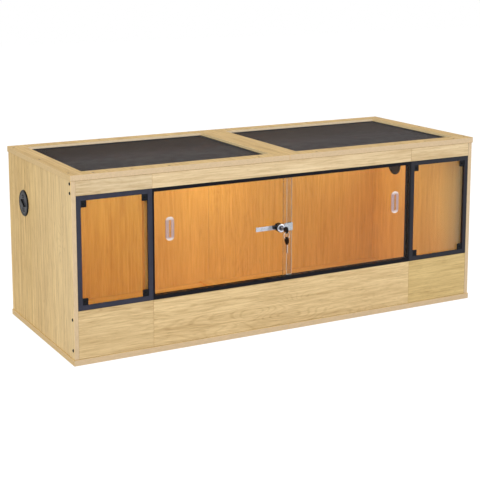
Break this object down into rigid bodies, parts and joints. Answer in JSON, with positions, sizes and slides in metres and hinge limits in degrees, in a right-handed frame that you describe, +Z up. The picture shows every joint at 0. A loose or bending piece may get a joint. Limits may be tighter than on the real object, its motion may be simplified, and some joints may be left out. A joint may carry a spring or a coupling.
{
  "type": "reptile tank",
  "caption": "Long wooden reptile tank with sliding glass doors between fixed side windows, a ratchet lock with hanging keys, mesh tops and turning side vents.",
  "frame": {"origin": "centre of the underside of the base, where the tank rests", "axes": "+X along the length to the right as seen from the front, +Y from the doors to the back, +Z up"},
  "size_m": [1.2146, 0.5225, 0.47],
  "materials": {
    "oak_board": "matt light oak board, straight grain",
    "oak_front": "matt pale oak board, straight grain",
    "oak_inside": "matt honey oak board",
    "screw_steel": "blackened steel, satin",
    "black_plastic": "black extruded plastic, satin",
    "mesh_steel": "black coated steel mesh, satin",
    "pane_glass": "clear float glass, polished",
    "clear_plastic": "clear acrylic, polished",
    "lock_chrome": "polished chrome plate",
    "key_black": "black plastic head on a nickel blade",
    "ring_steel": "bright nickel-plated wire",
    "vent_plastic": "black moulded plastic, glossy"
  },
  "bodies": {
    "cabinet": {"base_left": "oak_board", "base_right": "oak_board", "floor_strip": "oak_inside", "side_left": "oak_board", "side_right": "oak_board", "back_left": "oak_board", "back_right": "oak_board", "back_strip": "oak_board", "top_left": "oak_board", "top_right": "oak_board", "top_batten": "oak_inside", "fascia_left": "oak_front", "fascia_centre": "oak_front", "fascia_right": "oak_front", "kick_left": "oak_front", "kick_centre": "oak_front", "kick_right": "oak_front", "post_left": "oak_inside", "post_right": "oak_inside", "panel_dowels": "oak_inside", "top_screws": "screw_steel", "base_screws": "screw_steel", "side_screws": "screw_steel", "mesh_frame_left": "black_plastic", "mesh_frame_right": "black_plastic", "mesh_screen_left": "mesh_steel", "mesh_screen_right": "mesh_steel", "mesh_screws": "screw_steel", "window_frame_left": "black_plastic", "window_frame_right": "black_plastic", "window_glass_left": "pane_glass", "window_glass_right": "pane_glass", "window_clips_left": "black_plastic", "window_clips_right": "black_plastic", "clip_screws": "screw_steel", "track_top": "black_plastic", "track_bottom": "black_plastic", "jamb_left": "black_plastic", "jamb_right": "black_plastic", "vent_body_left": "vent_plastic", "vent_body_right": "vent_plastic", "vent_grille_left": "mesh_steel", "vent_grille_right": "mesh_steel"},
    "door_left": {"door_glass_left": "pane_glass", "door_seal": "clear_plastic", "pull_left": "clear_plastic", "lock_bar": "lock_chrome"},
    "door_right": {"door_glass_right": "pane_glass", "pull_right": "clear_plastic"},
    "lock": {"lock_body": "lock_chrome", "lock_guide": "black_plastic"},
    "turning_key": {"lock_plug": "lock_chrome", "key": "key_black"},
    "hanging_key": {"key_ring": "ring_steel", "spare_key": "key_black"},
    "vent_dial_left": {"vent_cap_left": "vent_plastic"},
    "vent_dial_right": {"vent_cap_right": "vent_plastic"}
  },
  "joints": [
    {"name": "door_left_slide", "type": "slide", "parent": "cabinet", "child": "door_left", "axis": [1, 0, 0], "range_m": [0, 0.365]},
    {"name": "door_right_slide", "type": "slide", "parent": "cabinet", "child": "door_right", "axis": [-1, 0, 0], "range_m": [0, 0.333]},
    {"name": "lock_slide", "type": "slide", "parent": "cabinet", "child": "lock", "axis": [-1, 0, 0], "range_m": [0, 0.333]},
    {"name": "key_turn", "type": "hinge", "parent": "lock", "child": "turning_key", "pos_m": [-0.0279, -0.246, 0.279], "axis": [0, 1, 0], "range_deg": [0, 90]},
    {"name": "key_ring_swing", "type": "hinge", "parent": "turning_key", "child": "hanging_key", "pos_m": [-0.0279, -0.2735, 0.2755], "axis": [1, 0, 0], "range_deg": [-60, 20]},
    {"name": "vent_left_turn", "type": "hinge", "parent": "cabinet", "child": "vent_dial_left", "pos_m": [-0.6018, 0.112, 0.337], "axis": [-1, 0, 0], "range_deg": [0, 90]},
    {"name": "vent_right_turn", "type": "hinge", "parent": "cabinet", "child": "vent_dial_right", "pos_m": [0.6018, 0.112, 0.337], "axis": [1, 0, 0], "range_deg": [0, 90]}
  ],
  "couplings": [
    {"joint": "lock_slide", "follows": "door_right_slide", "ratio": 1}
  ]
}
